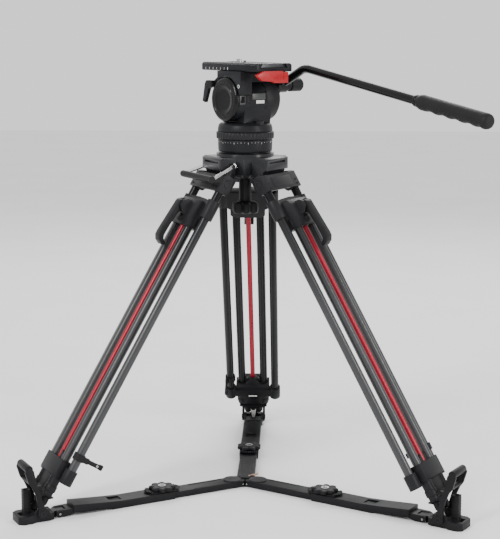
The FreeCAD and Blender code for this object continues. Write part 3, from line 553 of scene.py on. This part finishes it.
def face_teeth(name, place, depth, body, material):
    """A ring of rosette teeth on the axis that the pan bar swings about."""
    ring = [(9.5, 0), (14.0, 0), (14.0, depth), (9.5, depth)]
    axis = HEAD @ at(HUB_FORWARD, place, HUB_LEVEL, TO_Y)
    add_piece(name, lathe(ring, axis, 144, ribs(36, 0.9, 13.5)), body, material, (), 60)


face_teeth("hub_teeth_near", 66.6, 0.8, "pan_bar", STEEL)
face_teeth("hub_teeth_far", 82.8, 0.8, "pan_bar", MOULD)
face_teeth("cradle_teeth", 65.6, 0.9, "tilt_head", STEEL)

# pan bar grip
slope = math.atan2(BAR_ROOT[2] - BAR_TIP[2], BAR_TIP[0] - BAR_ROOT[0])
heading = Vector((math.cos(slope), 0, -math.sin(slope)))
grip_start = Vector(BAR_TIP) - heading * GRIP_DEPTH
grip_axis = HEAD @ Matrix.Translation(grip_start) @ Matrix.Rotation(math.radians(90) + slope, 4, "Y")


def finger_grip(turn, radius, height):
    """Finger hollows on the side that faces the floor, and a fine pattern of ridges all round."""
    if not 16 < height < 156 or radius < 9:
        return 0.0
    below = max(0.0, math.cos(turn)) ** 1.5
    wave = 0.5 - 0.5 * math.cos(2 * math.pi * (height - 20) / 30)
    return -1.9 * below * wave - 0.18 * (0.5 + 0.5 * math.cos(40 * turn))


grip_profile = [(8.05, 0), (9.5, 0), (10.6, 1.2), (11.6, 4), (12.9, 9)]
for step in range(75):
    grip_profile.append((13.3, 12 + step * 2.0))
grip_profile += [(12.2, 164), (10.4, 166.6), (8, 167.6), (4, 168), (0, 168), (0, 152.6), (8.05, 152.6)]
add_piece("pan_grip_form", lathe(grip_profile, grip_axis, 120, finger_grip), "pan_bar", RUBBER,
          ("pan_grip",), 40)
add_piece("grip_collar", lathe([(8.0, 0), (10.0, 0), (10.4, 0.8), (10.4, 5.2), (10.0, 6.0), (8.0, 6.0)],
          grip_axis @ at(0, 0, -6.2), 64), "pan_bar", GLOSS)

# tie-down knob
tie_axis = HEAD @ at(0, 0, 531)
add_piece("tie_knob_form", lathe([
    (0, 0), (22.5, 0), (24.6, 1.2), (26, 3.2), (26, 17.2), (24.6, 19.6), (22, 20.6), (13.4, 22), (11.5, 23.4),
    (11.5, 64.6), (13.4, 66), (25, 70), (27, 75.4), (26.4, 76), (15.4, 76), (13, 74), (6.1, 73), (6.1, 25), (0, 25)],
    tie_axis, 180, scallops(6, 6.5, 19)), "tie_down_knob", MOULD, ("tie_down_knob",), 45)
flutes = []
for step in range(8):
    flutes.append(block((11.2, 11.9), (-1.1, 1.1), (556, 593), HEAD @ about_z(45 * step), 0.3))
add_piece("tie_barrel_ribs", joined(flutes), "tie_down_knob", RIB)

# carry handle: ridged sleeve, doubled wire and the eyes' caps
handle_start = arm_frame(2) @ at(99.5, -63.5, 604.4, TO_Y)
sleeve_profile = [(0, 0), (5.2, 0), (6.0, 0.5), (6.2, 1.4)]
for step in range(30):
    low = 3.6 + step * 4.0
    sleeve_profile += [(6.2, low), (5.95, low + 0.6), (5.95, low + 2.0), (6.2, low + 2.6)]
sleeve_profile += [(6.2, 125.6), (6.0, 126.5), (5.2, 127), (0, 127)]
add_piece("handle_sleeve", lathe(sleeve_profile, handle_start, 40), "carry_handle", MOULD)
for side, label in ((-1, "a"), (1, "b")):
    pin, end = (arm_frame(2) @ Vector((reach, side * half, level)) for reach, half, level in (BAIL_PIN, BAIL_END))
    run = end - pin
    wire = Matrix.Translation(pin) @ run.to_track_quat("Z", "Y").to_matrix().to_4x4()
    strands = [lathe([(0, 0), (1.4, 0.6), (1.4, run.length), (0, run.length)], wire @ at(0, offset, 0), 24)
               for offset in (-2.1, 2.1)]
    add_piece(f"bail_strands_{label}", joined(strands), "carry_handle", CHROME)
    eye_cap = [(0, 0), (4.7, 0), (5.0, 0.4), (5.0, 4.7), (4.5, 5.2), (0, 5.2)]
    cap_place = at(BAIL_PIN[0], side * (BAIL_PIN[1] - 3.3), BAIL_PIN[2], facing(side))
    add_piece(f"bail_eye_cap_{label}", lathe(eye_cap, arm_frame(2) @ cap_place, 40), "carry_handle", MOULD)


# ------------------------------------------------------------------ leg details
def screw(name, matrix, radius, body, material, high=1.6):
    """A socket-head cap: matrix puts its axis on Z with the head's face at +high."""
    profile = [
        (0, 0), (radius, 0), (radius, high - 0.4), (radius - 0.4, high), (radius * 0.62, high),
        (radius * 0.55, high * 0.35), (0, high * 0.3)]
    add_piece(name, lathe(profile, matrix, 40), body, material)


def leg_screws(leg, own, flat):
    """Pin ends and screws that come in pairs, one on each side of the leg."""
    upper, middle, shoe = f"leg_upper_{leg}", f"leg_mid_{leg}", f"spreader_base_{leg}"
    for side, label in ((-1, "a"), (1, "b")):
        out = facing(side)
        screw(f"hinge_cap_{leg}_{label}", own @ at(0, side * 56.4, 0, out), 7.2, upper, RIB, 1.8)
        for level, mark in ((-6, "p"), (-14, "q")):
            screw(f"shoulder_screw_{leg}_{label}{mark}", own @ at(15.9, side * 47.5, level, TO_X), 2.1, upper, RIB,
                  0.8)
        screw(f"cap_screw_{leg}_{label}", own @ at(16.2, side * OUTER_HALF_PITCH, -598, TO_X), 2.4, upper, RIB,
              1.0)
        screw(f"carrier_screw_{leg}_{label}", own @ at(13.7, side * 41.5, -58, TO_X), 2.3, middle, RIB,
              1.0)
        screw(f"axle_cap_{leg}_{label}", flat @ at(420, side * 25.0, 16, out), 5.2, shoe, RIB, 1.4)
        screw(f"arm_pin_cap_{leg}_{label}", flat @ at(385, side * 15.7, 7, out), 2.0, shoe, WHITE, 0.9)


def upper_leg(leg, own):
    """Blank plate on the shoulder, white strip on the lower bracket, and the clip for the folded spreader."""
    body = f"leg_upper_{leg}"
    plate = [block((16.0, 16.5), (-33, 33), (-15, 5), own, 0.4)]
    add_piece(f"shoulder_plate_{leg}", joined(plate), body, RIB)
    add_piece(f"block_strip_{leg}", block((-4.7, -3.8), (-9, 9), (-605.6, -603.0), own, 0.3), body, WHITE)
    collar = [(8.05, 0), (10.4, 0), (10.9, 0.6), (10.9, 12.4), (10.4, 13), (8.05, 13)]
    clip = [
        lathe(collar, own @ at(5, OUTER_HALF_PITCH, -564), 48),
        block((-12, 4), (53.5, 59), (-563, -552), own, 1.2),
        block((-40, -8), (54, 58.6), (-561.5, -553.5), own, 1.4),
        block((-43, -36), (51, 58.6), (-562.5, -552.5), own, 1.6)]
    add_piece(f"carry_clip_{leg}", joined(clip), body, MOULD)
    screw(f"clip_pin_{leg}", own @ at(-31, 58.2, -557.5, TO_Y), 1.9, body, WHITE, 0.8)


def lower_leg(leg, own):
    """Block and sleeves at the inner tubes' lower ends, grip pads of the lever, and the spike."""
    sleeve = [
        (6.85, 0), (9.0, 0), (9.4, 0.5), (9.4, 6.0), (11.0, 7.2), (11.2, 8.0), (11.2, 17), (10.7, 18), (9.9, 18.4),
        (9.9, 34.5), (8.05, 34.5), (8.05, 13), (6.85, 12)]
    ends = [block((4.6, 22.4), (-23, 23), (-641.2, -607.5), own, 1.2)]
    for side in (-1, 1):
        ends.append(lathe(sleeve, own @ at(INNER_PLANE, side * INNER_HALF_PITCH, -642), 56))
    add_piece(f"mid_clamp_form_{leg}", joined(ends), f"leg_mid_{leg}", LEG_CAST, (f"mid_clamp_{leg}",))
    pads = []
    for step in range(5):
        out, level = 52.6 - 0.045 * step, -120 - 2.6 * step
        pads.append(block((out, out + 1), (-7, 7), (level, level + 1.3), own, 0.25))
    add_piece(f"lever_pads_{leg}", joined(pads), f"lock_lever_{leg}", RIB)
    spike = [(0, 0), (1.4, 0.2), (2.7, 1.6), (3.1, 3.1), (6.15, 27.5), (6.15, 28.2), (0, 28.2)]
    add_piece(f"spike_form_{leg}", lathe(spike, own @ at(3.06, 0, -679.9), 48), f"leg_lower_{leg}", ZINC)


def spreader_arm(leg, flat):
    """Ribbed rubber post on the shoe, rails on the inner bar, and the lock knob with its saddle."""
    post = [block((437.3, 450.2), (-6.7, 6.7), (14.2, 59), flat, 1.6)]
    for row in range(7):
        post.append(block((437.0, 450.5), (-7.0, 7.0), (20 + row * 5.4, 21.6 + row * 5.4), flat, 0.5))
    add_piece(f"post_form_{leg}", joined(post), f"spreader_base_{leg}", RUBBER)
    rails = [block((46, 116), (side * 13.4 - 1.1, side * 13.4 + 1.1), (12.2, 13.2), flat, 0.35) for side in (-1, 1)]
    add_piece(f"inner_rails_{leg}", joined(rails), f"arm_inner_{leg}", RIB)

    body = f"arm_knob_{leg}"
    knob = flat @ at(ARM_KNOB, 0, 16.8)
    star = lathe([
        (0, 0), (21.6, 0), (24.2, 0.8), (25, 1.8), (25, 5.0), (24.2, 6.2), (21.5, 7.2), (14, 7.8), (12.4, 7.2),
        (8.2, 7.2), (7.6, 7.8), (0, 7.8)], knob, 192, scallops(8, 5.6, 19))
    saddle = [block((150.4, 205.6), (-15.8, 15.8), (13.4, 17), flat, 0.7)]
    for end in (151.6, 204.4):
        for row in (-10.5, -3.5, 3.5, 10.5):
            saddle.append(block((end - 1.6, end + 1.6), (row - 1.1, row + 1.1), (16.4, 17.9), flat, 0.35))
    add_piece(f"arm_knob_form_{leg}", joined([star] + saddle), body, MOULD, (f"arm_knob_{leg}",), 45)
    screw(f"knob_centre_{leg}", knob @ at(0, 0, 7.0), 7.4, body, STEEL, 1.4)
    flares = []
    for half_turn in (180, 0):
        for row in range(-4, 5):
            turn = flat @ at(ARM_KNOB, 0, 0) @ about_z(half_turn + row * 7.5)
            flares.append(block((25.4, 35.5 - abs(row)), (-0.9, 0.9), (16.4, 19.0), turn, 0.35))
    add_piece(f"knob_flares_{leg}", joined(flares), body, RIB)


for leg in LEGS:
    leg_screws(leg, leg_frame(leg), arm_frame(leg))
    upper_leg(leg, leg_frame(leg))
    lower_leg(leg, leg_frame(leg))
    spreader_arm(leg, arm_frame(leg))

# ------------------------------------------------------------------ hub of the spreader
add_piece("hub_cap_form", lathe([
    (0, 12.95), (9.3, 12.95), (9.5, 13.4), (9.4, 14.0), (8.6, 14.6), (7.0, 15.3), (5.0, 15.35), (4.4, 14.7),
    (0, 14.6)], UPRIGHT, 64), NODE_BODY["spreader_hub"], MOULD)
paint("spreader_hub", MOULD)
add_piece("hub_trim", block((6.5, 30), (-1.3, 1.3), (ARM_TOP, ARM_TOP + 3), about_z(38), 0.4), "arm_inner_1", COPPER)
lobe = [(0, 0), (17.0, 0), (17.6, 0.5), (17.4, 1.6), (16.2, 2.3), (15.2, 2.0), (0, 2.4)]
for leg, front in ((2, 1), (3, -1)):
    add_piece(f"hub_lobe_{leg}", lathe(lobe, arm_frame(leg) @ at(29, 0, 12.3), 72), f"arm_inner_{leg}", RIB)
    screw(f"hub_dot_{leg}", arm_frame(leg) @ at(13.5, front * 16.3, 6, facing(front)), 1.3, f"arm_inner_{leg}", WHITE,
          0.7)


# ------------------------------------------------------------------ stage
def floor_material():
    n = Nodes("floor_paper")
    n.set(Base_Color=n.ramp(n.noise(3.0, 4.0), (0.3, grey(0.86)), (0.7, grey(0.90))), Roughness=0.8)
    return n.material


def area_light(name, place, target, size, power):
    light = bpy.data.lights.new(name, "AREA")
    light.shape = "RECTANGLE"
    light.size, light.size_y = size
    light.energy = power
    holder = bpy.data.objects.new(name, light)
    holder.location = place
    holder.rotation_euler = (Vector(target) - Vector(place)).to_track_quat("-Z", "Y").to_euler()
    bpy.context.scene.collection.objects.link(holder)


floor_mesh = bpy.data.meshes.new("floor")
floor_mesh.from_pydata([
    (-FLOOR_REACH, -FLOOR_REACH, 0), (FLOOR_REACH, -FLOOR_REACH, 0), (FLOOR_REACH, FLOOR_REACH, 0),
    (-FLOOR_REACH, FLOOR_REACH, 0)], [], [(0, 1, 2, 3)])
floor_mesh.materials.append(floor_material())
floor = bpy.data.objects.new("floor", floor_mesh)
bpy.context.scene.collection.objects.link(floor)

area_light("key", (-1.5, -2.0, 2.3), (0, 0, 0.45), (0.5, 1.8), 62)
area_light("fill", (2.3, -1.5, 1.3), (0, 0, 0.5), (0.35, 1.8), 40)
area_light("back", (0.3, 2.6, 2.4), (0, 0, 0.5), (2.4, 1.4), 50)
world = bpy.data.worlds.new("studio")
world.use_nodes = True
world.node_tree.nodes["Background"].inputs["Color"].default_value = (1, 1, 1, 1)
world.node_tree.nodes["Background"].inputs["Strength"].default_value = WORLD_GLOW
bpy.context.scene.world = world

camera_data = bpy.data.cameras.new("camera")
camera_data.sensor_fit = "VERTICAL"
camera_data.sensor_height = SENSOR_HEIGHT
camera_data.lens = FOCAL_LENGTH
camera_data.shift_y = LENS_SHIFT
camera_data.clip_end = 50.0
camera = bpy.data.objects.new("camera", camera_data)
spin = Matrix.Rotation(CAMERA_TURN, 3, "Z")
camera.location = spin @ Vector((0, -CAMERA_DISTANCE, CAMERA_HEIGHT))
ahead = spin @ Vector((
    math.sin(CAMERA_YAW) * math.cos(CAMERA_PITCH), math.cos(CAMERA_YAW) * math.cos(CAMERA_PITCH),
    -math.sin(CAMERA_PITCH)))
camera.rotation_euler = ahead.to_track_quat("-Z", "Y").to_euler()
bpy.context.scene.collection.objects.link(camera)
bpy.context.scene.camera = camera
